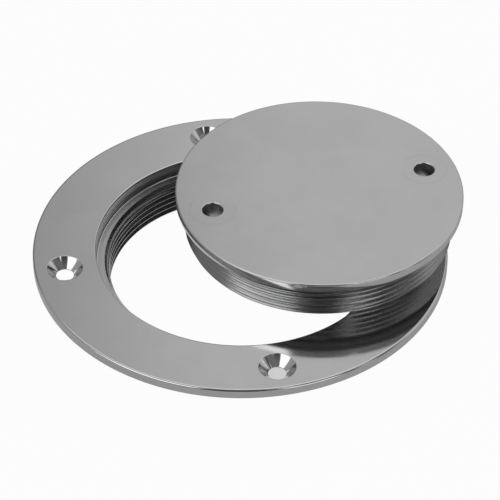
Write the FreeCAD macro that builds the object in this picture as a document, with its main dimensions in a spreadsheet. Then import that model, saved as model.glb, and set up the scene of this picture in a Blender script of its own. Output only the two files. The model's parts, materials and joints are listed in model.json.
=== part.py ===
# Round deck inspection plate in polished stainless steel, in millimetres.
# A flanged ring is screwed down over a round cut-out in the deck, with its threaded neck
# hanging through the cut-out. A lid with an external thread screws into the neck and presses
# a rubber sealing ring on the ledge inside. Here the lid lies loose on the flange, pushed to
# one side, and leaves a crescent of the opening free.
# Origin: centre of the flange's underside, which is the plane of the deck. +Z points up.

import FreeCAD, Part
import math
import os

import Sketcher

# Every driving size: name, value and what it measures. Lengths in mm, angles in degrees.
# The flange's diameter leads. Every other radius follows from it by a named width or gap.
SIZES = [
    ("flange_diameter", 127.0, "outside of the flange"),
    ("flange_thickness", 3.0, "flange, from the deck to its top"),
    ("flange_break", 0.5, "45 degree break at the flange's top outer edge"),
    ("screw_edge", 9.2, "centre of a screw hole in from the flange's edge"),
    ("screw_land", 10.05, "recess's wall in from the centre of a screw hole"),
    ("screw_count", 4, "screw holes, evenly spaced"),
    ("screw_hole", 5.4, "through-hole of a screw"),
    ("screw_sink", 11.0, "mouth of the countersink"),
    ("screw_angle", 90.0, "full angle of the countersink"),
    ("recess_break", 0.4, "45 degree break at the recess's top edge"),
    ("neck_wall", 2.25, "neck's outside out from the recess's wall"),
    ("neck_length", 13.9, "neck below the deck plane"),
    ("neck_break", 0.5, "45 degree break at the neck's lower outer edge"),
    ("ledge_width", 2.85, "ledge, from the recess's wall in to the thread's root"),
    ("bore_mouth", 0.3, "bore's two mouths out from the thread's root"),
    ("thread_depth", 1.1, "depth of both threads"),
    ("thread_pitch", 2.0, "rise of both threads in one turn"),
    ("thread_angle", 60.0, "angle between the flanks of a groove"),
    ("thread_gap", 0.15, "radial play between the two threads"),
    ("thread_overrun", 0.3, "how far the cut of a groove reaches past the crest"),
    ("lid_thickness", 2.65, "disc of the lid"),
    ("lid_break", 0.4, "45 degree break at the lid's top edge"),
    ("lid_gap", 0.25, "radial play between the rim and the recess"),
    ("lid_sink", 0.2, "how far the closed lid sits below the flange's top"),
    ("lid_end_gap", 2.0, "closed lid's lower end above the neck's lower end"),
    ("skirt_wall", 3.6, "lid's skirt, from the thread's root inwards"),
    ("hollow_corner", 2.0, "45 degree corner between the skirt's inside and the disc"),
    ("seal_section", 2.0, "thickness of the sealing ring"),
    ("seal_sides", 8, "flats that stand for its round section"),
    ("seal_squeeze", 0.2, "how much closing the lid flattens it"),
    ("seal_gap", 0.1, "radial play of the sealing ring on its seat"),
    ("seat_depth", 0.55, "seat of the sealing ring below the thread's crest"),
    ("key_inset", 2.55, "centre of a key hole in from the skirt's inside"),
    ("key_count", 2, "blind holes for the pins of the key"),
    ("key_hole", 6.2, "diameter of a key hole"),
    ("key_depth", 5.5, "depth of a key hole"),
    ("key_break", 0.2, "break at the mouth of a key hole"),
    ("key_break_angle", 90.0, "full angle of that break"),
    ("boss_wall", 2.9, "metal round a key hole, below the disc"),
    ("boss_floor", 1.5, "metal under a key hole"),
    ("lid_shift_x", 25.45, "where the loose lid lies on the flange"),
    ("lid_shift_y", 4.5, "where the loose lid lies on the flange"),
    ("lid_turn", 5.4, "turn of the line through the key holes"),
]

document = FreeCAD.newDocument("DeckInspectionPlate")

sheet = document.addObject("Spreadsheet::Sheet", "Sizes")
for row, (name, value, meaning) in enumerate(SIZES, 1):
    sheet.set("A%d" % row, name)
    sheet.set("B%d" % row, str(value))
    sheet.set("C%d" % row, meaning)
    sheet.setAlias("B%d" % row, name)
document.recompute()

# Sizes worked out from the driving ones, as expressions on the sheet's cells.
FLANGE_RADIUS = "Sizes.flange_diameter / 2"
SCREW_RADIUS = "(Sizes.flange_diameter / 2 - Sizes.screw_edge)"
RECESS_RADIUS = "(Sizes.flange_diameter / 2 - Sizes.screw_edge - Sizes.screw_land)"
NECK_RADIUS = RECESS_RADIUS + " + Sizes.neck_wall"
NECK_BOTTOM = "-Sizes.neck_length"
LEDGE_HEIGHT = ("(Sizes.flange_thickness - Sizes.lid_sink - Sizes.lid_thickness"
                " - Sizes.seal_section + Sizes.seal_squeeze)")
RING_ROOT = "(%s - Sizes.ledge_width)" % RECESS_RADIUS
RING_CREST = "(%s - Sizes.thread_depth)" % RING_ROOT
BORE_MOUTH = "(%s + Sizes.bore_mouth)" % RING_ROOT
MOUTH_DEPTH = "(Sizes.thread_depth + Sizes.bore_mouth)"
LID_RADIUS = RECESS_RADIUS + " - Sizes.lid_gap"
LID_CREST = "(%s - Sizes.thread_gap)" % RING_ROOT
LID_ROOT = "(%s - Sizes.thread_depth)" % LID_CREST
SEAT_RADIUS = "(%s - Sizes.seat_depth)" % LID_CREST
SKIRT_INSIDE = "(%s - Sizes.skirt_wall)" % LID_ROOT
SKIRT_LENGTH = ("(Sizes.neck_length + Sizes.flange_thickness - Sizes.lid_sink"
                " - Sizes.lid_thickness - Sizes.lid_end_gap)")
SEAT_BOTTOM = "(%s - Sizes.seal_section)" % SKIRT_LENGTH
LID_HEIGHT = SKIRT_LENGTH + " + Sizes.lid_thickness"
SEAL_CENTRE = SEAT_RADIUS + " + Sizes.seal_gap + Sizes.seal_section / 2"
KEY_RADIUS = SKIRT_INSIDE + " - Sizes.key_inset"
BOSS_LENGTH = "Sizes.key_depth + Sizes.boss_floor - Sizes.lid_thickness"


def value_of(name):
    """The number in the sheet's cell of that name."""
    return float(sheet.get(name))


def new_body(label):
    """An empty body whose label names the piece."""
    body = document.addObject("PartDesign::Body", label)
    body.Label = label
    return body


def new_sketch(body, name, role, height=None):
    """A sketch on one of the body's own planes, lifted by an expression if one is given."""
    plane = next(item for item in body.Origin.OriginFeatures if item.Role == role)
    sketch = body.newObject("Sketcher::SketchObject", name)
    sketch.AttachmentSupport = [(plane, "")]
    sketch.MapMode = "FlatFace"
    if height is not None:
        sketch.setExpression("AttachmentOffset.Base.z", height)
    return sketch


def place_point(sketch, geometry, point, across, up):
    """Hold a point of the sketch at two expressions; None holds it on that axis."""
    start = sketch.getPoint(geometry, point)
    if across is None:
        sketch.addConstraint(Sketcher.Constraint("PointOnObject", geometry, point, -2))
    else:
        number = sketch.addConstraint(
            Sketcher.Constraint("DistanceX", -1, 1, geometry, point, start.x))
        sketch.setExpression("Constraints[%d]" % number, across)
    if up is None:
        sketch.addConstraint(Sketcher.Constraint("PointOnObject", geometry, point, -1))
    else:
        number = sketch.addConstraint(
            Sketcher.Constraint("DistanceY", -1, 1, geometry, point, start.y))
        sketch.setExpression("Constraints[%d]" % number, up)


def draw_outline(sketch, corners):
    """A closed outline of straight lines through corners given as pairs of expressions."""
    count = len(corners)
    start = [FreeCAD.Vector(10 + math.cos(2 * math.pi * i / count),
                            10 + math.sin(2 * math.pi * i / count), 0) for i in range(count)]
    for i in range(count):
        sketch.addGeometry(Part.LineSegment(start[i], start[(i + 1) % count]), False)
    for i in range(count):
        sketch.addConstraint(Sketcher.Constraint("Coincident", i, 2, (i + 1) % count, 1))
    for i, (across, up) in enumerate(corners):
        place_point(sketch, i, 1, across, up)


def draw_circle(sketch, diameter, across, up):
    """A circle with its diameter and centre given as expressions."""
    circle = Part.Circle(FreeCAD.Vector(10, 10, 0), FreeCAD.Vector(0, 0, 1), 1.0)
    geometry = sketch.addGeometry(circle, False)
    number = sketch.addConstraint(Sketcher.Constraint("Diameter", geometry, 2.0))
    sketch.setExpression("Constraints[%d]" % number, diameter)
    place_point(sketch, geometry, 3, across, up)


def revolve(body, name, sketch):
    """Turn a section a full turn about the upright axis."""
    feature = body.newObject("PartDesign::Revolution", name)
    feature.Profile = sketch
    feature.ReferenceAxis = (sketch, ["V_Axis"])
    feature.Angle = 360.0
    sketch.Visibility = False
    document.recompute()
    return feature


def cut_thread(body, name, root, mouth, lowest, highest):
    """Cut one helical V groove, from the centre height lowest to highest.

    Its point runs at the radius root. It opens towards the radius mouth, which lies
    clear of the thread's crest.
    """
    sketch = new_sketch(body, name + "_groove", "XZ_Plane")
    half_mouth = "abs(%s - %s) * tan(Sizes.thread_angle * 1 deg / 2)" % (mouth, root)
    draw_outline(sketch, [
        (root, lowest),
        (mouth, "%s - %s" % (lowest, half_mouth)),
        (mouth, "%s + %s" % (lowest, half_mouth)),
    ])
    document.recompute()
    groove = body.newObject("PartDesign::SubtractiveHelix", name)
    groove.Profile = sketch
    groove.ReferenceAxis = (sketch, ["V_Axis"])
    groove.Mode = "pitch-height-angle"
    groove.setExpression("Pitch", "Sizes.thread_pitch")
    groove.setExpression("Height", "%s - (%s)" % (highest, lowest))
    groove.Angle = 0.0
    groove.LeftHanded = False
    groove.Reversed = False
    sketch.Visibility = False
    document.recompute()
    return groove


def repeat_round(body, name, feature, sketch, count):
    """Repeat a feature evenly round the upright axis."""
    pattern = body.newObject("PartDesign::PolarPattern", name)
    pattern.Originals = [feature]
    pattern.Axis = (sketch, ["N_Axis"])
    pattern.Angle = 360.0
    pattern.setExpression("Occurrences", count)
    body.Tip = pattern
    document.recompute()
    return pattern


def make_ring():
    """Flange, recess, ledge, threaded neck and countersunk screw holes, all one piece."""
    body = new_body("deck_ring")
    section = new_sketch(body, "ring_section", "XZ_Plane")
    draw_outline(section, [
        (BORE_MOUTH, NECK_BOTTOM),
        (NECK_RADIUS + " - Sizes.neck_break", NECK_BOTTOM),
        (NECK_RADIUS, NECK_BOTTOM + " + Sizes.neck_break"),
        (NECK_RADIUS, None),
        (FLANGE_RADIUS, None),
        (FLANGE_RADIUS, "Sizes.flange_thickness - Sizes.flange_break"),
        (FLANGE_RADIUS + " - Sizes.flange_break", "Sizes.flange_thickness"),
        (RECESS_RADIUS + " + Sizes.recess_break", "Sizes.flange_thickness"),
        (RECESS_RADIUS, "Sizes.flange_thickness - Sizes.recess_break"),
        (RECESS_RADIUS, LEDGE_HEIGHT),
        (BORE_MOUTH, LEDGE_HEIGHT),
        (RING_CREST, "%s - %s" % (LEDGE_HEIGHT, MOUTH_DEPTH)),
        (RING_CREST, "%s + %s" % (NECK_BOTTOM, MOUTH_DEPTH)),
    ])
    revolve(body, "ring_turned", section)
    cut_thread(body, "neck_thread", RING_ROOT, RING_CREST + " - Sizes.thread_overrun",
               NECK_BOTTOM + " - Sizes.thread_pitch", LEDGE_HEIGHT + " + Sizes.thread_pitch")

    marks = new_sketch(body, "screw_marks", "XY_Plane", "Sizes.flange_thickness")
    draw_circle(marks, "Sizes.screw_hole", SCREW_RADIUS, None)
    document.recompute()
    hole = body.newObject("PartDesign::Hole", "screw_hole")
    hole.Profile = marks
    document.recompute()
    hole.setExpression("Diameter", "Sizes.screw_hole")
    hole.DepthType = "ThroughAll"
    hole.HoleCutType = "Countersink"
    hole.HoleCutCustomValues = True
    hole.setExpression("HoleCutDiameter", "Sizes.screw_sink")
    hole.setExpression("HoleCutCountersinkAngle", "Sizes.screw_angle")
    document.recompute()
    repeat_round(body, "screw_holes", hole, marks, "Sizes.screw_count")
    return body


def make_lid():
    """Flat disc on a hollow threaded skirt, with two blind key holes in bosses."""
    body = new_body("lid")
    section = new_sketch(body, "lid_section", "XZ_Plane")
    draw_outline(section, [
        (SKIRT_INSIDE, None),
        (LID_ROOT, None),
        (LID_CREST, "Sizes.thread_depth"),
        (LID_CREST, SEAT_BOTTOM + " - Sizes.seat_depth"),
        (SEAT_RADIUS, SEAT_BOTTOM),
        (SEAT_RADIUS, SKIRT_LENGTH),
        (LID_RADIUS, SKIRT_LENGTH),
        (LID_RADIUS, LID_HEIGHT + " - Sizes.lid_break"),
        (LID_RADIUS + " - Sizes.lid_break", LID_HEIGHT),
        (None, LID_HEIGHT),
        (None, SKIRT_LENGTH),
        (SKIRT_INSIDE + " - Sizes.hollow_corner", SKIRT_LENGTH),
        (SKIRT_INSIDE, SKIRT_LENGTH + " - Sizes.hollow_corner"),
    ])
    revolve(body, "lid_turned", section)
    cut_thread(body, "skirt_thread", LID_ROOT, LID_CREST + " + Sizes.thread_overrun",
               "-Sizes.thread_pitch", SEAT_BOTTOM + " - Sizes.seat_depth")

    bosses = new_sketch(body, "boss_marks", "XY_Plane", SKIRT_LENGTH)
    draw_circle(bosses, "Sizes.key_hole + 2 * Sizes.boss_wall", KEY_RADIUS, None)
    document.recompute()
    boss = body.newObject("PartDesign::Pad", "boss")
    boss.Profile = bosses
    boss.setExpression("Length", BOSS_LENGTH)
    boss.Reversed = True
    document.recompute()
    repeat_round(body, "bosses", boss, bosses, "Sizes.key_count")

    marks = new_sketch(body, "key_marks", "XY_Plane", LID_HEIGHT)
    draw_circle(marks, "Sizes.key_hole", KEY_RADIUS, None)
    document.recompute()
    hole = body.newObject("PartDesign::Hole", "key_hole")
    hole.Profile = marks
    document.recompute()
    hole.setExpression("Diameter", "Sizes.key_hole")
    hole.DepthType = "Dimension"
    hole.setExpression("Depth", "Sizes.key_depth")
    hole.DrillPoint = "Flat"
    hole.HoleCutType = "Countersink"
    hole.HoleCutCustomValues = True
    hole.setExpression("HoleCutDiameter", "Sizes.key_hole + 2 * Sizes.key_break")
    hole.setExpression("HoleCutCountersinkAngle", "Sizes.key_break_angle")
    document.recompute()
    repeat_round(body, "key_holes", hole, marks, "Sizes.key_count")
    lay_on_flange(body)
    return body


def make_seal():
    """Rubber sealing ring round the lid's seat, pushed up under the rim."""
    body = new_body("sealing_ring")
    section = new_sketch(body, "seal_outline", "XZ_Plane")
    corners = []
    for number in range(int(value_of("seal_sides"))):
        angle = "((%d + 0.5) * 360 deg / Sizes.seal_sides)" % number
        reach = "Sizes.seal_section / 2 / cos(180 deg / Sizes.seal_sides)"
        corners.append(("%s + %s * cos(%s)" % (SEAL_CENTRE, reach, angle),
                        "%s - Sizes.seal_section / 2 + %s * sin(%s)" % (SKIRT_LENGTH, reach, angle)))
    draw_outline(section, corners)
    revolve(body, "seal_turned", section)
    lay_on_flange(body)
    return body


def lay_on_flange(body):
    """Set a piece of the lid, drawn on its own axis, where the loose lid lies."""
    body.setExpression("Placement.Base.x", "Sizes.lid_shift_x")
    body.setExpression("Placement.Base.y", "Sizes.lid_shift_y")
    body.setExpression("Placement.Base.z", "Sizes.flange_thickness")
    body.setExpression("Placement.Rotation.Angle", "Sizes.lid_turn")
    document.recompute()


pieces = [make_ring(), make_lid(), make_seal()]
document.recompute()

for item in document.Objects:
    if "Invalid" in item.State or "Error" in item.State:
        raise RuntimeError("%s did not build: %s" % (item.Label, item.State))
for piece in pieces:
    if piece.Shape.isNull() or not piece.Shape.isValid() or len(piece.Shape.Solids) != 1:
        raise RuntimeError("%s is not one sound solid" % piece.Label)

os.makedirs("parts", exist_ok=True)
for piece in pieces:
    piece.Shape.exportStep("parts/%s.step" % piece.Label)
    print("%s: %.1f mm3, %d faces" % (piece.Label, piece.Shape.Volume, len(piece.Shape.Faces)))
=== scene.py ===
# %% [markdown]
# # A deck inspection plate in polished stainless steel
# A flanged ring is screwed down over a round cut-out in a boat's deck. Its lid screws into the
# ring's neck. Here the lid lies loose on the flange, pushed to one side. This lesson dresses the
# packed part: it turns fine meshes for the ring, the lid and its rubber ring, cuts true threads
# on them, and gives each surface the finish that its maker left on it.

# %% Load the packed part
import json
import math

import bmesh
import bpy
import numpy as np
from mathutils import Matrix, Vector


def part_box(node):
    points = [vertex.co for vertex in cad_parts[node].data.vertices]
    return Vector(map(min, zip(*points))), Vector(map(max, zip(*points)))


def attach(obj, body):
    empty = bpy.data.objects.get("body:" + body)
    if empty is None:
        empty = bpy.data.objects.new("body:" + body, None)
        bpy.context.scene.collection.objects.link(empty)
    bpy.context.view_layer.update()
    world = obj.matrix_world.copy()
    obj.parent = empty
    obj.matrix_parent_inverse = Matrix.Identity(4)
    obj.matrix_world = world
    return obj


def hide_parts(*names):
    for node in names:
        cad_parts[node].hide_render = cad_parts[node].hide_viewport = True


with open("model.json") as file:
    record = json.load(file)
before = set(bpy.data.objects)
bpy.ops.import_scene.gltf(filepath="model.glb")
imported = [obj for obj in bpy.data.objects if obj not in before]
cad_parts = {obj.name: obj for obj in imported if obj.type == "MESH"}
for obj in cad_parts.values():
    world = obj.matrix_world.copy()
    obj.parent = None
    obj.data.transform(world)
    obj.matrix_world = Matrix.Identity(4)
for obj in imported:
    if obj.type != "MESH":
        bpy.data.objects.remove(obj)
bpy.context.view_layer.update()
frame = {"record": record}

# %% [markdown]
# ## Sizes
# The packed part already says how large everything is, so the meshes take their sizes from it.
# The boxes of the nodes give the outsides and the heights. The record's mounts give the screw
# holes, the key holes and the neck. What neither says, such as the recess and the threads, is
# written here once, in metres, as it is in the part's source.

# %% Sizes read from the packed part, and those that it doesn't say
MM = 0.001
ring_low, ring_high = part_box("deck_ring")
lid_low, lid_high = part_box("lid")
seal_low, seal_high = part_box("sealing_ring")
mounts = {mount["name"]: mount["dims"] for mount in frame["record"]["mounts"]}
print("mounts:", mounts)

FLANGE_RADIUS = ring_high.x
FLANGE_TOP = ring_high.z
NECK_BOTTOM = ring_low.z
NECK_RADIUS = mounts["neck"]["r_mm"] * MM
RECESS_RADIUS = 44.25 * MM
LEDGE_HEIGHT = -1.65 * MM       # the ledge carries the rubber ring when the lid is shut
RING_ROOT = 41.4 * MM           # bottom of the groove in the neck
BORE_MOUTH = 41.7 * MM          # both ends of the bore
SCREW_CIRCLE = mounts["deck_screws"]["pcd_mm"] / 2 * MM
SCREW_HOLE = mounts["deck_screws"]["hole_r_mm"] * MM
SCREW_MOUTH = 5.5 * MM          # a countersink at the flange's top

THREAD_DEPTH = 1.1 * MM
THREAD_PITCH = 2.0 * MM
THREAD_PLAY = 0.15 * MM         # between the lid's crests and the neck's root
HALF_FLANK_ANGLE = math.radians(30)

LID_RADIUS = (lid_high.x - lid_low.x) / 2
LID_HEIGHT = lid_high.z - lid_low.z
LID_CENTRE = ((lid_low + lid_high) / 2).xy
LID_TURN = math.radians(5.4)    # of the line through the key holes
LID_THICKNESS = 2.65 * MM
LID_CREST = RING_ROOT - THREAD_PLAY
LID_ROOT = LID_CREST - THREAD_DEPTH
SKIRT_LENGTH = LID_HEIGHT - LID_THICKNESS
SKIRT_INSIDE = LID_ROOT - 3.6 * MM
RUN_OUT = 0.55 * MM             # the step from the thread's crests down to the seat
SEAT_RADIUS = LID_CREST - RUN_OUT
SEAT_BOTTOM = SKIRT_LENGTH - 2.0 * MM
KEY_CIRCLE = mounts["key_holes"]["pcd_mm"] / 2 * MM
KEY_HOLE = mounts["key_holes"]["hole_r_mm"] * MM
KEY_DEPTH = 5.5 * MM
BOSS_RADIUS = KEY_HOLE + 2.9 * MM
BOSS_LENGTH = 4.35 * MM
print("flange radius %.2f mm, lid radius %.2f mm, lid height %.2f mm" % (
    FLANGE_RADIUS / MM, LID_RADIUS / MM, LID_HEIGHT / MM))

# %% [markdown]
# ## Turning a section
# Almost every surface here comes off a lathe. A lathe part is a section turned about an axis,
# which Blender could do with a Screw modifier. A mesh made by code is chosen here, because a
# thread needs rows that climb as they go round. The section is a list of corners. Each has
# a rounding, since no machined edge is truly sharp and a polished one catches the light.

# %% Round the corners of a section
COLUMNS = 240                   # steps in one turn of a large piece
HOLE_COLUMNS = 72               # and in one of a screw hole or a boss
KEY_COLUMNS = 64                # and of a key hole


def rounded(corners, steps=6):
    """Points along a section. Each corner is (radius, height, rounding); 0 leaves it sharp."""
    points = []
    for number, (x, z, rounding) in enumerate(corners):
        here = np.array([x, z])
        if rounding == 0 or number in (0, len(corners) - 1):
            points.append(here)
            continue
        before = np.array(corners[number - 1][:2]) - here
        after = np.array(corners[number + 1][:2]) - here
        before, after = before / np.linalg.norm(before), after / np.linalg.norm(after)
        half = math.acos(np.clip(before @ after, -1, 1)) / 2
        inwards = (before + after) / np.linalg.norm(before + after)
        centre = here + inwards * rounding / math.sin(half)
        start = here + before * rounding / math.tan(half) - centre
        end = here + after * rounding / math.tan(half) - centre
        sweep = math.pi - 2 * half
        for step in range(steps + 1):
            share = step / steps
            weight = np.array([math.sin((1 - share) * sweep), math.sin(share * sweep)])
            points.append(centre + (weight[0] * start + weight[1] * end) / math.sin(sweep))
    return points


def turned(points, columns=COLUMNS, about=(0, 0)):
    """Rows of a grid: each point of the section goes once round an upright axis."""
    angles = 2 * np.pi * np.arange(columns + 1) / columns
    return [np.stack([about[0] + r * np.cos(angles), about[1] + r * np.sin(angles),
                      np.full(columns + 1, z)], axis=1) for r, z in points]


print("a rounded edge has", len(rounded([(1, 0, 0), (1, 1, 0.1), (0, 1, 0)])) - 2, "points")

# %% [markdown]
# ## Cutting a thread
# A thread is a V groove that climbs by one pitch in each turn. A Boolean with a swept groove
# would work, but it leaves slivers that a polished surface shows. Here the rows of the grid
# climb with the groove instead, so that its point and its flanks stay straight and clean. The
# rows are cut off level at both ends, where the spare ones fall together and are welded away.
# The tip of a real tool is never sharp, so the groove has a rounded root. The lid was cut with
# a blunter tool than the neck, and its ridges look softer. The crests are crowned, as they
# are once a thread has been deburred.

# %% Rows of a threaded wall
ROWS_PER_PITCH = 20
NECK_ROOT_ROUNDING = 0.10 * MM
SKIRT_ROOT_ROUNDING = 0.22 * MM
CREST_ROUNDING = 0.45 * MM
CROWN_FADE = 0.3 * MM           # the crown fades out this near to both ends of a wall
GROOVE_FADE = 0.05 * THREAD_PITCH       # and a groove that stops does so in this height


def threaded(low, high, plain_radius, root_radius, root_rounding, inward, end=None):
    """Rows of a threaded wall between two heights.

    plain_radius gives the wall without its thread at any height. inward is 1 for a groove cut
    into a shaft and -1 for one cut into a bore. end is the height where the groove stops.
    """
    angles = 2 * np.pi * np.arange(COLUMNS + 1) / COLUMNS
    climb = THREAD_PITCH * angles / (2 * np.pi)
    spare = (THREAD_PITCH / 2 - root_rounding) / math.tan(HALF_FLANK_ANGLE) - THREAD_DEPTH
    start = -2 * THREAD_PITCH + math.floor(low / THREAD_PITCH) * THREAD_PITCH
    count = int((high - start) / THREAD_PITCH * ROWS_PER_PITCH) + ROWS_PER_PITCH + 1
    rows = []
    for number in range(count):
        z = np.clip(start + number * THREAD_PITCH / ROWS_PER_PITCH + climb, low, high)
        groove = np.round((z - climb) / THREAD_PITCH) * THREAD_PITCH + climb
        away = np.hypot(z - groove, root_rounding) - root_rounding
        plain = plain_radius(z)
        depth = inward * (plain - root_radius) - away / math.tan(HALF_FLANK_ANGLE)
        if end is not None:
            depth = depth - 2 * THREAD_DEPTH * np.clip((groove - end) / GROOVE_FADE + 1, 0, 1)
        soft = CREST_ROUNDING * np.clip(np.minimum(z - low, high - z) / CROWN_FADE, 0, 1)
        crown = np.hypot(spare, soft) - spare
        r = plain - inward * np.maximum((depth + np.hypot(depth, soft) - crown) / 2, 0)
        rows.append(np.stack([r * np.cos(angles), r * np.sin(angles), z], axis=1))
    return rows


print("a thread has", ROWS_PER_PITCH, "rows to a pitch of", THREAD_PITCH / MM, "mm")

# %% [markdown]
# ## From rows to a mesh
# The grids of one piece are welded where their edges meet. Flat faces with holes in them are
# filled last: the open edges that lie in one plane are its outline and its holes. Flat faces
# are shaded flat, so that they mirror without a ripple, and all others are shaded smooth.

# %% Make a piece from its grids
WELD = 0.001 * MM               # points this near to each other become one
LEVEL = 1e-7                    # and an edge this near to a plane, in metres, lies in it
SHARP_ANGLE = math.radians(40)
FLAT = 0.99999                  # upward part of the normal of a face that lies flat


def make_piece(name, grids, planes=()):
    """A mesh from grids of points, with its open edges filled in the given planes.

    A plane is its height and the (centre, radius) of each round hole that stays open in it.
    """
    mesh = bmesh.new()
    for grid in grids:
        rows = [[mesh.verts.new(point) for point in row] for row in grid]
        for low, high in zip(rows, rows[1:]):
            for i in range(len(low) - 1):
                mesh.faces.new((low[i], low[i + 1], high[i + 1], high[i]))
    bmesh.ops.remove_doubles(mesh, verts=mesh.verts, dist=WELD)
    for height, holes in planes:
        outline = [edge for edge in mesh.edges if edge.is_boundary
                   and all(abs(vert.co.z - height) < LEVEL for vert in edge.verts)]
        filled = bmesh.ops.triangle_fill(mesh, use_beauty=True, edges=outline, normal=(0, 0, 1))
        faces = [item for item in filled["geom"] if isinstance(item, bmesh.types.BMFace)]
        plugs = [face for face in faces if any(
            (face.calc_center_median().xy - Vector(centre)).length < radius
            for centre, radius in holes)]
        bmesh.ops.delete(mesh, geom=plugs, context="FACES_ONLY")
    bmesh.ops.recalc_face_normals(mesh, faces=mesh.faces)
    open_edges = sum(edge.is_boundary for edge in mesh.edges)
    data = bpy.data.meshes.new(name)
    mesh.to_mesh(data)
    mesh.free()
    data.set_sharp_from_angle(angle=SHARP_ANGLE)
    for face in data.polygons:
        face.use_smooth = abs(face.normal.z) < FLAT
    piece = bpy.data.objects.new(name, data)
    bpy.context.scene.collection.objects.link(piece)
    print(name, len(data.polygons), "faces,", open_edges, "open edges")
    return piece


# %% [markdown]
# ## The ring
# The ring is one casting, turned all over: a flange, a recess that takes the lid's rim, a ledge
# for the rubber ring and a threaded neck. Its bore is the threaded wall, with a 45 degree
# mouth at each end, which leads the lid in. A section starts and ends a little way along the
# flat beside its corners, and that spare point is dropped where a flat face is filled up to the
# corner's rounding.

# %% Draw the ring's sections
LEAD = 1 * MM                   # how far along the flat a section starts or ends
UNDERSIDE_START = NECK_RADIUS + 0.5 * MM        # the flat underside begins outside this
RECESS_EDGE = 0.5 * MM          # rounding of the recess's mouth
LEDGE_CORNER = 0.4 * MM         # and of the corner at its ledge


def ring_bore(z):
    """The bore's radius at a height, without the thread: its crest and a mouth at each end."""
    crest = RING_ROOT - THREAD_DEPTH
    return np.maximum(crest, BORE_MOUTH - np.minimum(LEDGE_HEIGHT - z, z - NECK_BOTTOM))


neck_outside = rounded([
    (BORE_MOUTH, NECK_BOTTOM, 0),
    (NECK_RADIUS, NECK_BOTTOM, 0.5 * MM),       # the neck's lower end
    (NECK_RADIUS, 0, 0.3 * MM),                 # the corner under the flange
    (UNDERSIDE_START, 0, 0),
])[1:]
flange_side = rounded([
    (FLANGE_RADIUS - LEAD, 0, 0),
    (FLANGE_RADIUS, 0, 0.15 * MM),              # the lower edge, broken with a file
    (FLANGE_RADIUS, FLANGE_TOP, 0.7 * MM),      # the upper edge, softened by the wheel
    (FLANGE_RADIUS - LEAD, FLANGE_TOP, 0),
])[1:-1]
recess = rounded([
    (RECESS_RADIUS + LEAD, FLANGE_TOP, 0),
    (RECESS_RADIUS, FLANGE_TOP, RECESS_EDGE),
    (RECESS_RADIUS, LEDGE_HEIGHT, LEDGE_CORNER),
    (BORE_MOUTH, LEDGE_HEIGHT, 0),
])[1:]
screw_hole = rounded([
    (SCREW_MOUTH + LEAD, FLANGE_TOP, 0),
    (SCREW_MOUTH, FLANGE_TOP, 0.3 * MM),        # the countersink's mouth
    (SCREW_HOLE, FLANGE_TOP - (SCREW_MOUTH - SCREW_HOLE), 0.1 * MM),
    (SCREW_HOLE, 0, 0),
], steps=5)[1:]
print("points in the ring's sections:", [len(section) for section in (
    neck_outside, flange_side, recess, screw_hole)])

# %% [markdown]
# ### Its bore and its holes
# The bore is a threaded wall. The neck's outside starts from the bore's lowest row, so the two
# weld without a gap. The four screw holes are countersunk for flat-headed screws. A drilled hole
# is a lathe section too, turned about its own axis, so no Boolean has to cut it: the flat faces
# are filled round it.

# %% Thread the bore, place the holes and weld the ring
bore = threaded(NECK_BOTTOM, LEDGE_HEIGHT, ring_bore, RING_ROOT, NECK_ROOT_ROUNDING, -1)
screw_places = [(SCREW_CIRCLE * math.cos(a), SCREW_CIRCLE * math.sin(a))
                for a in (0, math.pi / 2, math.pi, 3 * math.pi / 2)]
screw_holes = [(place, SCREW_HOLE) for place in screw_places]
ring = make_piece(
    "polished_ring",
    [bore, [bore[0]] + turned(neck_outside), turned(flange_side), turned(recess)]
    + [turned(screw_hole, HOLE_COLUMNS, place) for place in screw_places],
    [(0, screw_holes), (FLANGE_TOP, screw_holes)])

# %% [markdown]
# ## The lid
# The lid is a flat disc on a hollow threaded skirt. Above the thread is a smooth seat, where
# the rubber ring sits under the rim. Two blind holes take the pins of a key, and each goes down
# into a boss that is cast on the underside. A boss is a closed cup round its hole that reaches
# up into the disc. A plain plug would be simpler, but its top would close the hole.

# %% Draw the lid's sections
KEY_EDGE = 0.35 * MM            # rounding of a key hole's mouth
BOSS_SINK = 0.5 * MM            # how far a boss reaches up into the disc
CUP_GAP = 0.3 * MM              # between a key hole and the inside of its boss's cup

lid_rim = rounded([
    (SEAT_RADIUS, SEAT_BOTTOM, 0),
    (SEAT_RADIUS, SKIRT_LENGTH, 0.15 * MM),     # the corner that the rubber ring sits in
    (LID_RADIUS, SKIRT_LENGTH, 0.1 * MM),       # the rim's lower edge
    (LID_RADIUS, LID_HEIGHT, 0.4 * MM),         # and its upper edge
    (LID_RADIUS - LEAD, LID_HEIGHT, 0),
])[:-1]
lid_hollow = rounded([
    (LID_ROOT, 0, 0),
    (SKIRT_INSIDE, 0, 0.3 * MM),                # the skirt's lower end
    (SKIRT_INSIDE, SKIRT_LENGTH, 2.0 * MM),     # the corner of the hollow, as cast
    (SKIRT_INSIDE - 3 * LEAD, SKIRT_LENGTH, 0),
], steps=8)[:-1]
key_bottom = LID_HEIGHT - KEY_DEPTH
key_hole = rounded([
    (KEY_HOLE + LEAD, LID_HEIGHT, 0),
    (KEY_HOLE, LID_HEIGHT, KEY_EDGE),
    (KEY_HOLE, key_bottom, 0.15 * MM),          # left by the drill's corner
    (0, key_bottom, 0),
], steps=5)[1:]
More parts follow.
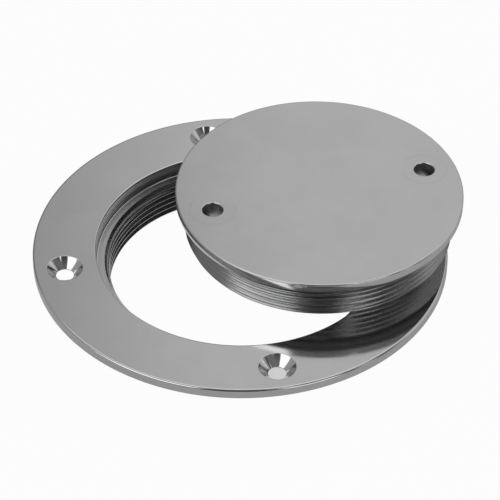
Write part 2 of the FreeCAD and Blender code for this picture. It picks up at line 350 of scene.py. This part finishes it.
boss = rounded([
    (0, key_bottom - CUP_GAP, 0),
    (KEY_HOLE + CUP_GAP, key_bottom - CUP_GAP, 0),
    (KEY_HOLE + CUP_GAP, SKIRT_LENGTH + BOSS_SINK, 0),
    (BOSS_RADIUS, SKIRT_LENGTH + BOSS_SINK, 0),
    (BOSS_RADIUS, SKIRT_LENGTH - BOSS_LENGTH, 0.5 * MM),
    (0, SKIRT_LENGTH - BOSS_LENGTH, 0),
], steps=5)
print("points in the lid's sections:", [len(section) for section in (
    lid_rim, lid_hollow, key_hole, boss)])

# %% [markdown]
# ### Its thread and its holes
# The skirt's thread starts at a 45 degree lead-in and stops below the seat, where the wall steps
# in by the run-out. The lid is made on its own axis and laid in place afterwards, so that its
# finish can follow its own centre.

# %% Thread the skirt, place the holes and weld the lid
THREAD_END = SEAT_BOTTOM - RUN_OUT


def skirt_outside(z):
    """The skirt's radius at a height, without the thread: lead-in, crest and run-out."""
    return np.minimum(np.minimum(LID_ROOT + z, LID_CREST), LID_CREST - (z - THREAD_END))


skirt = threaded(0, SEAT_BOTTOM, skirt_outside, LID_ROOT, SKIRT_ROOT_ROUNDING, 1, THREAD_END)
key_places = [(KEY_CIRCLE, 0), (-KEY_CIRCLE, 0)]
lid = make_piece(
    "polished_lid",
    [[skirt[0]] + turned(lid_hollow), skirt, turned(lid_rim)]
    + [turned(key_hole, KEY_COLUMNS, place) for place in key_places]
    + [turned(boss, HOLE_COLUMNS, place) for place in key_places],
    [(SKIRT_LENGTH, []), (LID_HEIGHT, [(place, KEY_HOLE) for place in key_places])])

# %% [markdown]
# ## The rubber ring
# The rubber ring is moulded with a round section, so it is a plain torus. It has slipped up
# under the lid's rim, where it makes the dark band between the bright rim and the thread.
# Blender's own torus would do, but the turned rows already give one of exactly this size.

# %% Turn the rubber ring
SEAL_STEPS = 32                 # steps round its section
seal_section = (seal_high.z - seal_low.z) / 2
seal_middle = (seal_high.x - seal_low.x) / 2 - seal_section
seal_height = seal_low.z - lid_low.z + seal_section
seal_points = [(seal_middle + seal_section * math.cos(a), seal_height + seal_section * math.sin(a))
               for a in 2 * np.pi * np.arange(SEAL_STEPS + 1) / SEAL_STEPS]
seal = make_piece("rubber_ring", [turned(seal_points)])

# %% [markdown]
# ## Into the frame
# Each mesh takes the place of one solid and moves with the body that carries it. The lid and
# the rubber ring go where the packed part has them. Their turn goes into the mesh and not into
# the object, because the box of a turned object is larger than the piece in it.

# %% Lay the lid in place and put each piece in the place of its solid
for piece, node, slot in ((ring, "deck_ring", "polished_steel"), (lid, "lid", "polished_steel"),
                          (seal, "sealing_ring", "seal_rubber")):
    if piece is not ring:
        piece.location = (*LID_CENTRE, lid_low.z)
        piece.data.transform(Matrix.Rotation(LID_TURN, 4, "Z"))
    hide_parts(node)
    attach(piece, "root")
    print(piece.name, "stands for", node)

# %% [markdown]
# ## Shader maths
# A finish is a tree of nodes, and most of them only add and multiply. By hand, each would take
# four lines. Shader maths reads best as plain expressions, so one small class wraps a socket and
# turns each operator into a Math node.

# %% Wrap a socket so that maths on it makes nodes
class Value:
    """A number in a shader. An expression on it adds the Math nodes that it needs."""

    def __init__(self, tree, socket):
        self.tree, self.socket = tree, socket

    def maths(self, operation, first, second=None):
        node = self.tree.nodes.new("ShaderNodeMath")
        node.operation = operation
        for number, item in enumerate((first, second)):
            if isinstance(item, Value):
                self.tree.links.new(item.socket, node.inputs[number])
            elif item is not None:
                node.inputs[number].default_value = item
        return Value(self.tree, node.outputs[0])

    def __add__(self, other): return self.maths("ADD", self, other)
    def __radd__(self, other): return self.maths("ADD", other, self)
    def __sub__(self, other): return self.maths("SUBTRACT", self, other)
    def __rsub__(self, other): return self.maths("SUBTRACT", other, self)
    def __mul__(self, other): return self.maths("MULTIPLY", self, other)
    def __rmul__(self, other): return self.maths("MULTIPLY", other, self)
    def __truediv__(self, other): return self.maths("DIVIDE", self, other)
    def __pow__(self, other): return self.maths("POWER", self, other)
    def __abs__(self): return self.maths("ABSOLUTE", self)
    def at_least(self, other): return self.maths("MAXIMUM", self, other)
    def at_most(self, other): return self.maths("MINIMUM", self, other)
    def arcsine(self): return self.maths("ARCSINE", self)
    def arctan2(self, other): return self.maths("ARCTAN2", self, other)


print("maths on a socket:", len([name for name in vars(Value) if callable(getattr(Value, name))])
      - 2, "operations")

# %% [markdown]
# ## Other nodes
# Every other node is made by one method, from its type, its settings and the values of its
# sockets. The settings come first, because some of them change which sockets a node has.

# %% Make any other node
class Finish:
    """A node tree that is filled one node at a time."""

    def __init__(self, tree):
        self.tree = tree
        tree.nodes.clear()

    def node(self, kind, settings=None, **sockets):
        """Add a node: its settings first, then values or links of its inputs.

        An input is called by its name, with _ for a space, or by its number, as in _0_.
        """
        node = self.tree.nodes.new("ShaderNode" + kind)
        for name, value in (settings or {}).items():
            setattr(node, name, value)
        for name, value in sockets.items():
            number = name.strip("_")
            socket = node.inputs[int(number) if number.isdigit() else name.replace("_", " ")]
            if isinstance(value, Value):
                self.tree.links.new(value.socket, socket)
            elif isinstance(value, bpy.types.NodeSocket):
                self.tree.links.new(value, socket)
            else:
                socket.default_value = value
        return node

    def value(self, node, output=0):
        return Value(self.tree, node.outputs[output])

    def xyz(self, vector):
        """The three numbers of a vector."""
        parts = self.node("SeparateXYZ", Vector=vector)
        return [self.value(parts, number) for number in range(3)]

    def step(self, value, low, high):
        """0 below low and 1 above high, with a soft slope between them."""
        node = self.node("MapRange", {"interpolation_type": "SMOOTHSTEP"},
                         Value=value, From_Min=low, From_Max=high)
        return self.value(node)


def new_finish(name):
    material = bpy.data.materials.new(name)
    material.use_nodes = True
    return material, Finish(material.node_tree)


print("a finish is made node by node")

# %% [markdown]
# ## Halo and lean
# Two things about the polish belong to a place on the lid. Round each key hole, over the boss
# beneath, lies a faint ring where the polish is rougher and a little darker; its darker tone is
# painted shade. And the loose lid isn't quite level. A lean of a degree is hardly seen in its
# shape, but it moves what a mirror shows, so the lid's mesh lies level, as in the packed part,
# and its finish leans the mirror image. It is a bump that rises evenly to one side, on the top
# as on the rim.

# %% The ring of painted shade round each key hole, and how the lid leans
KEY_HALO_RING = (6.3 * MM, 7.5 * MM)        # its radii, from the middle of a key hole
KEY_HALO_EDGE = 0.5 * MM                    # how softly it starts and ends
LID_LEAN = math.radians(1.3)
LEAN_BEARING = math.radians(-12)        # the side that stands up, from the +X axis


def painted_key_halo(make, x, y):
    """1 in a thin ring round each key hole, which gets painted shade and a rougher polish."""
    along = x * math.cos(LID_TURN) + y * math.sin(LID_TURN)
    across = y * math.cos(LID_TURN) - x * math.sin(LID_TURN)
    from_key = ((abs(along) - KEY_CIRCLE) ** 2 + across * across) ** 0.5
    inside, outside = KEY_HALO_RING
    return make.step(from_key, inside, inside + KEY_HALO_EDGE) * (
        1 - make.step(from_key, outside - KEY_HALO_EDGE, outside))


def leaning(make, x, y, z, lean):
    """Height that a level surface gains when the lid leans, on its top and on its rim."""
    face_x, face_y, face_z = make.xyz(make.node("NewGeometry").outputs["Normal"])
    sideways = x * math.cos(LEAN_BEARING) + y * math.sin(LEAN_BEARING)
    face_sideways = face_x * math.cos(LEAN_BEARING) + face_y * math.sin(LEAN_BEARING)
    slope = sideways * face_z - (z - LID_HEIGHT) * face_sideways
    return slope * (math.tan(lean) / MM)


print("painted halo ring, mm:", [round(radius / MM, 1) for radius in KEY_HALO_RING], "lean, degrees:",
      round(math.degrees(LID_LEAN), 1))

# %% [markdown]
# ## Mirror-polished steel
# The flange and the disc are ground, then buffed on a wheel with compound until they mirror.
# Looked at closely the mirror isn't perfect. Buffing leaves a slow waviness, a haze that comes
# and goes, a fine grain and a few tiny pits, and a thin dull bloom lies over it all. One noise
# could drive them all, but each flaw is a texture of its own scale here, so that it can be
# turned up or down by itself. The bloom is a second, dull shader mixed in weakly.

# %% Mirror-polished steel
BRIGHT_STEEL = (0.635, 0.635, 0.64, 1)
CLOUDED_STEEL = (0.60, 0.60, 0.605, 1)
BLOOM = 0.05                    # share of dull light over the mirror


def polished_steel(name, lean=0.0):
    material, make = new_finish(name)
    place = make.node("TexCoord").outputs["Object"]
    x, y, z = make.xyz(place)
    haze = make.value(make.node("TexNoise", Vector=place, Scale=55.0, Detail=4.0, Roughness=0.6))
    wave = make.value(make.node("TexNoise", Vector=place, Scale=90.0, Detail=1.0))
    grain = make.value(make.node("TexNoise", Vector=place, Scale=2600.0, Detail=2.0))
    cells = make.value(make.node("TexVoronoi", {"feature": "F1"}, Vector=place, Scale=420.0))
    pit = 1 - make.step(cells, 0.04, 0.07)
    # a ring round each key hole where the polish is rougher and given painted shade
    painted_halo = painted_key_halo(make, x, y) * make.step(haze, 0.42, 0.55)
    roughness = 0.05 + 0.05 * haze + 0.04 * grain + 0.06 * pit + 0.05 * painted_halo
    height = wave * 0.02 + grain * 0.001
    if lean:
        height = height + leaning(make, x, y, z, lean)
    bump = make.node("Bump", Height=height, Strength=1.0, Distance=MM)
    # the cloud darkens the tone: random haze and pits, and the painted shade of the key-hole ring
    cloud = make.step(haze, 0.35, 0.65) * 0.7 + pit * 0.3 + painted_halo * 1.6
    tone = make.node("Mix", {"data_type": "RGBA"}, _0_=cloud, _6_=BRIGHT_STEEL,
                     _7_=CLOUDED_STEEL)
    steel = make.node("BsdfPrincipled", Base_Color=tone.outputs[2], Metallic=1.0,
                      Roughness=roughness, Normal=bump.outputs[0])
    dull = make.node("BsdfPrincipled", Base_Color=CLOUDED_STEEL, Metallic=1.0, Roughness=0.5)
    buffed = make.node("MixShader", _0_=BLOOM, _1_=steel.outputs[0], _2_=dull.outputs[0])
    make.node("OutputMaterial", Surface=buffed.outputs[0])
    print(name, len(make.tree.nodes), "nodes")
    return material


ring_mirror = polished_steel("mirror_polished_ring")
lid_mirror = polished_steel("mirror_polished_lid", LID_LEAN)

# %% [markdown]
# ## Turned steel
# The threads, the recess and the underside never go to the buffing wheel. They keep the fine
# rings that the tool left as it moved along. A picture of rings would do on one surface, but
# noise that is looked up by radius and height alone is the same all the way round, whatever the
# section, so it gives the rings on a wall, a ledge and a flank alike. Each surface was cut with
# its own tool and feed, and has its own roughness, spacing and depth of marks. The skirt's thread
# and the key holes lie deep, and their darker tone is painted shade: they are shaded copies of
# the turned steel.

# %% Turned steel
def turned_steel(name, rough, rings, tone, marks):
    """Steel as the lathe left it: rings to a metre, and the depth of their marks."""
    material, make = new_finish(name)
    place = make.node("TexCoord").outputs["Object"]
    x, y, z = make.xyz(place)
    radius = (x * x + y * y) ** 0.5
    section = make.node("CombineXYZ", X=radius, Y=z).outputs[0]
    feed = make.value(make.node("TexNoise", Vector=section, Scale=rings, Detail=3.0,
                                Roughness=0.7))
    stain = make.value(make.node("TexNoise", Vector=place, Scale=120.0, Detail=4.0))
    roughness = rough + 0.05 * feed + 0.04 * stain
    bump = make.node("Bump", Height=feed, Strength=1.0, Distance=marks)
    steel = make.node("BsdfPrincipled", Base_Color=(tone, tone, tone + 0.005, 1), Metallic=1.0,
                      Roughness=roughness, Normal=bump.outputs[0])
    make.node("OutputMaterial", Surface=steel.outputs[0])
    print(name, len(make.tree.nodes), "nodes")
    return material


bore_finish = turned_steel("turned_bore", 0.11, 5000.0, 0.50, 0.03 * MM)
# its tone of 0.30, against 0.50 for the bore, is painted shade under the lid's rim
skirt_shaded_finish = turned_steel("turned_skirt_painted_shade", 0.13, 5000.0, 0.30, 0.03 * MM)
plain_turned = turned_steel("turned_satin", 0.30, 3000.0, 0.52, 0.02 * MM)
# its dark tone is painted shade deep in the blind holes; its roughness is the drill's
drilled_and_shaded = turned_steel("drilled_hole_painted_shade", 0.50, 1500.0, 0.26, 0.02 * MM)
seat_finish = turned_steel("turned_seat", 0.22, 4000.0, 0.50, 0.03 * MM)

# %% [markdown]
# ## Rubber
# The sealing ring is black nitrile rubber. Its skin is smooth from the mould, but dust and
# talc leave it uneven and a little grey. Rubber isn't black in a bright studio, so its darkest
# grey is well above nothing.

# %% Rubber
CLEAN_RUBBER = (0.045, 0.045, 0.046, 1)
DUSTY_RUBBER = (0.08, 0.08, 0.08, 1)


def black_rubber():
    material, make = new_finish("black_rubber")
    place = make.node("TexCoord").outputs["Object"]
    dust = make.value(make.node("TexNoise", Vector=place, Scale=400.0, Detail=4.0, Roughness=0.7))
    skin = make.value(make.node("TexNoise", Vector=place, Scale=3000.0, Detail=2.0))
    grey = make.node("Mix", {"data_type": "RGBA"}, _0_=dust, _6_=CLEAN_RUBBER, _7_=DUSTY_RUBBER)
    bump = make.node("Bump", Height=skin, Strength=0.3, Distance=0.05 * MM)
    rubber = make.node("BsdfPrincipled", Base_Color=grey.outputs[2], Roughness=0.42 + 0.2 * dust,
                       Normal=bump.outputs[0])
    make.node("OutputMaterial", Surface=rubber.outputs[0])
    print(material.name, len(make.tree.nodes), "nodes")
    return material


rubber = black_rubber()

# %% [markdown]
# ## Which surface has which finish
# One mesh carries several finishes. Each face takes its own by where it lies. The flange, the
# neck's outside, the disc and the edges of every hole are polished. The threads, the recess, the
# underside and the key holes are as the lathe and the drill left them. Separate meshes for each
# finish would work too, but then no edge could be rounded from one finish into the next.

# %% Give each face its finish
NEAR = 0.01 * MM                # a face this far outside a limit still counts as inside it


def dress(piece, materials, choose):
    """Give each face the material whose number choose returns for its middle."""
    for material in materials:
        piece.data.materials.append(material)
    faces = piece.data.polygons
    for face in faces:
        x, y, z = face.center
        face.material_index = choose(math.hypot(x, y), z)
    counts = [sum(face.material_index == i for face in faces) for i in range(len(materials))]
    print(piece.name, dict(zip((material.name for material in materials), counts)))


def ring_zone(radius, z):
    """0 polished, 1 the bore, 2 the underside, 3 the recess and its ledge."""
    if radius < BORE_MOUTH + NEAR and z < LEDGE_HEIGHT:
        return 1
    in_corner = radius >= RECESS_RADIUS - LEDGE_CORNER and z <= LEDGE_HEIGHT + LEDGE_CORNER
    if radius < RECESS_RADIUS + NEAR and z < FLANGE_TOP - RECESS_EDGE and not in_corner:
        return 3
    return 2 if abs(z) < NEAR and radius > UNDERSIDE_START else 0


def lid_zone(radius, z):
    """0 polished, 1 the thread, 2 the seat and the underside, 3 the key holes."""
    in_wall = SKIRT_INSIDE + LEAD < radius < LID_CREST + NEAR
    if in_wall and 0 < z < SEAT_BOTTOM:
        return 1
    in_key_hole = abs(radius - KEY_CIRCLE) < KEY_HOLE + NEAR
    if in_key_hole and key_bottom - NEAR < z < LID_HEIGHT - KEY_EDGE - NEAR:
        return 3
    if z < SKIRT_LENGTH + BOSS_SINK + 0.1 * MM and radius < LID_RADIUS - 0.3 * MM:
        return 2
    return 0


dress(ring, [ring_mirror, bore_finish, plain_turned, seat_finish], ring_zone)
dress(lid, [lid_mirror, skirt_shaded_finish, plain_turned, drilled_and_shaded], lid_zone)
dress(seal, [rubber], lambda radius, z: 0)

# %% [markdown]
# ## The studio
# Polished metal shows only what stands round it, so the studio is most of its look. It is drawn
# in the world's shader, as patches with soft edges. Area lamps would light the steel as well,
# but they are hard to place in a mirror. A patch is placed by its bearing and its height in
# degrees, which is how a mirror sorts what it shows. Bearings run round the object and are
# measured from the camera's own direction, so -90 is the camera and 90 is behind the object.

# %% Find bearings and heights in the sky
VIEW_TURN = math.radians(-12)   # the camera's bearing, from the -Y axis

world = bpy.data.worlds.new("studio")
bpy.context.scene.world = world
world.use_nodes = True
sky = Finish(world.node_tree)
look = sky.node("VectorRotate", {"rotation_type": "Z_AXIS"}, Angle=-VIEW_TURN,
                Vector=sky.node("TexCoord").outputs["Generated"]).outputs[0]
east, north, up = sky.xyz(look)
height = up.arcsine() * (180 / math.pi)


def patch(bearing, half_width, low, high, soft, soft_up):
    """1 inside a window of the sky and 0 outside. All are in degrees, soft the edges' width."""
    a = math.radians(bearing)
    across = north * math.cos(a) - east * math.sin(a)
    ahead = east * math.cos(a) + north * math.sin(a)
    angle = across.arctan2(ahead) * (180 / math.pi)
    side = 1 - sky.step(abs(angle), half_width - soft / 2, half_width + soft / 2)
    return side * sky.step(height, low - soft_up / 2, low + soft_up / 2) * (
        1 - sky.step(height, high - soft_up / 2, high + soft_up / 2))


print("sky turned by", round(math.degrees(VIEW_TURN)), "degrees")

# %% [markdown]
# ### What stands round the object
# There is a pale backdrop with a soft box over it, another on the left, a small lamp on the
# right, and strips nearer the camera. Between and behind them the room is darker. A patch adds
# to the light or takes from it, so where two overlap both count.

# %% Draw the soft boxes and the dark room
SKY_BASE = 0.40
light = SKY_BASE
for bearing, half_width, low, high, soft, soft_up, change in (
        (45, 49.5, -90, 49, 8, 4, 0.24),     # backdrop behind the object
        (90, 36, 50, 76, 8, 4, 0.8),         # soft box over the backdrop
        (-142, 30, 30, 58, 8, 8, 1.5),       # soft box on the left
        (0, 12, 55, 75, 6, 6, 0.8),          # small lamp high on the right
        (-54, 14, 6, 35, 12, 5, 1.4),        # wide strip low beside the camera
        (-57, 4, 50, 78, 4, 6, 2.0),         # and a narrow one above it
        (-24, 5, 6, 34, 4, 6, 0.7),          # a second strip, further round
        (10, 3, 12, 38, 3, 3, 0.5),          # the edge of a reflector on the right
        (90, 60, -5, 26, 8, 8, -0.32),       # dark gap between the backdrop and the table
        (-51, 62, -5, 90, 10, 8, -0.21),     # the dark room behind the camera
        (-90, 80, 48, 95, 10, 10, -0.14),    # and the darker ceiling over it
        (-70, 62, -10, 37, 10, 8, -0.12)):   # and its far wall, low down
    light = light + patch(bearing, half_width, low, high, soft, soft_up) * change
print("patches drawn with", len(sky.tree.nodes), "nodes")

# %% [markdown]
# ### The white behind it
# The camera sees plain white behind the object, whatever the room is like. Metal and glass show
# a little of that white too. It is taken off the room first, so that both together are as drawn.

# %% Put white behind the object
IN_METAL = 0.05                 # how much of the white background the metal shows
WHITE = (1, 1, 1, 1)


def bright_share(make, to_camera, in_metal):
    """How much the camera, and metal and glass, see of a bright background."""
    rays = make.node("LightPath").outputs
    camera_ray, glossy_ray, clear_ray = (Value(make.tree, rays[name]) for name in (
        "Is Camera Ray", "Is Glossy Ray", "Is Transmission Ray"))
    return camera_ray * to_camera + (glossy_ray + clear_ray) * in_metal


light = ((light - IN_METAL) / (1 - IN_METAL)).at_least(0.0)
room = sky.node("Background", Color=WHITE, Strength=light)
white = sky.node("Background", Color=WHITE, Strength=1.0)
shown = sky.node("MixShader", _0_=bright_share(sky, 1, IN_METAL), _1_=room.outputs[0],
                 _2_=white.outputs[0])
sky.node("OutputWorld", Surface=shown.outputs[0])
print("studio has", len(sky.tree.nodes), "nodes")

# %% [markdown]
# ## The floor
# The ring stands with its neck on a pale floor, at the height that the packed part gives. One
# large square is enough, because its edges lie far outside the picture.

# %% Lay the floor
HALF_FLOOR = 3.0                # metres, from its middle to an edge
floor_mesh = bmesh.new()
bmesh.ops.create_grid(floor_mesh, x_segments=1, y_segments=1, size=HALF_FLOOR)
floor_data = bpy.data.meshes.new("floor")
floor_mesh.to_mesh(floor_data)
floor_mesh.free()
floor = bpy.data.objects.new("floor", floor_data)
bpy.context.scene.collection.objects.link(floor)
floor.location.z = NECK_BOTTOM
print("floor laid at", round(NECK_BOTTOM / MM, 2), "mm")

# %% [markdown]
# ### What the floor shows
# The camera sees the floor nearly white, with a faint shadow left in it. What the steel mirrors
# of the floor is darker, and painted light and shade lie on it there: painted shade under the
# lid, a pool of painted light inside the bore, and a painted spot of light under each screw hole.
# Lamps could light the floor like this, but a glow that only metal sees leaves the rest of the
# picture as it is.

# %% Paint the floor
FLOOR_GREY = (0.55, 0.55, 0.55, 1)
SEEN_WHITE = 0.97               # the rest is left for the shadow
floor_material, paint = new_finish("pale_floor_with_painted_light")
x, y, z = paint.xyz(paint.node("TexCoord").outputs["Object"])
from_ring = (x * x + y * y) ** 0.5
lid_x, lid_y = x - LID_CENTRE.x, y - LID_CENTRE.y
from_lid = (lid_x * lid_x + lid_y * lid_y) ** 0.5
from_side_hole = (abs(x) - SCREW_CIRCLE) ** 2 + y * y
from_end_hole = (abs(y) - SCREW_CIRCLE) ** 2 + x * x
from_hole = from_side_hole.at_most(from_end_hole) ** 0.5
# painted light and shade that only metal sees: a pool inside the bore, shade under the lid, a spot
# under each screw hole
painted_bore_light = 1 - paint.step(from_ring, RING_ROOT, NECK_RADIUS)
outside_painted_lid_shade = paint.step(from_lid, 36 * MM, 48 * MM)
painted_light_spot = 1 - paint.step(from_hole, 9 * MM, 12 * MM)
# how much white glow metal sees here, with the painted light and shade in it
in_metal = (outside_painted_lid_shade * (0.25 + 0.4 * painted_bore_light)).at_least(painted_light_spot)
matt = paint.node("BsdfDiffuse", Color=FLOOR_GREY)
glow = paint.node("Emission", Color=WHITE, Strength=1.0)
mixed = paint.node("MixShader", _0_=bright_share(paint, SEEN_WHITE, in_metal),
                   _1_=matt.outputs[0], _2_=glow.outputs[0])
paint.node("OutputMaterial", Surface=mixed.outputs[0])
floor_data.materials.append(floor_material)
print(floor_material.name, len(paint.tree.nodes), "nodes")

# %% [markdown]
# ## The camera
# The photographer stood well back with a long lens, so the circles stay close to true ellipses.
# The camera looks down at 41 degrees from a point a little to the left of the object's front.
# Tracking it to an empty would aim it too, but numbers that were fitted to the outlines put the
# object just where it is in the photograph.

# %% Aim the camera
ELEVATION = math.radians(41.215)
DISTANCE = 743.74 * MM
ROLL = math.radians(0.633)
LENS = 175.16                   # mm, on a sensor 36 mm wide
target = Vector((2.968 * MM, -2.077 * MM, 0))
target.rotate(Matrix.Rotation(VIEW_TURN, 3, "Z"))
target.z = FLANGE_TOP

forward = Vector((-math.sin(VIEW_TURN) * math.cos(ELEVATION),
                  math.cos(VIEW_TURN) * math.cos(ELEVATION), -math.sin(ELEVATION)))
facing = forward.to_track_quat("-Z", "Y").to_matrix() @ Matrix.Rotation(ROLL, 3, "Z")
camera_data = bpy.data.cameras.new("camera")
camera_data.lens = LENS
camera_data.sensor_width = 36.0
camera_data.clip_start = 0.01
camera = bpy.data.objects.new("camera", camera_data)
bpy.context.scene.collection.objects.link(camera)
camera.matrix_world = Matrix.Translation(target - forward * DISTANCE) @ facing.to_4x4()
bpy.context.scene.camera = camera
bpy.context.scene.view_settings.view_transform = "Standard"
print("camera at", [round(x, 4) for x in camera.location])

# %% [markdown]
# ## Finish
# The last step brings the scene up to date.

# %% Finish
bpy.context.view_layer.update()
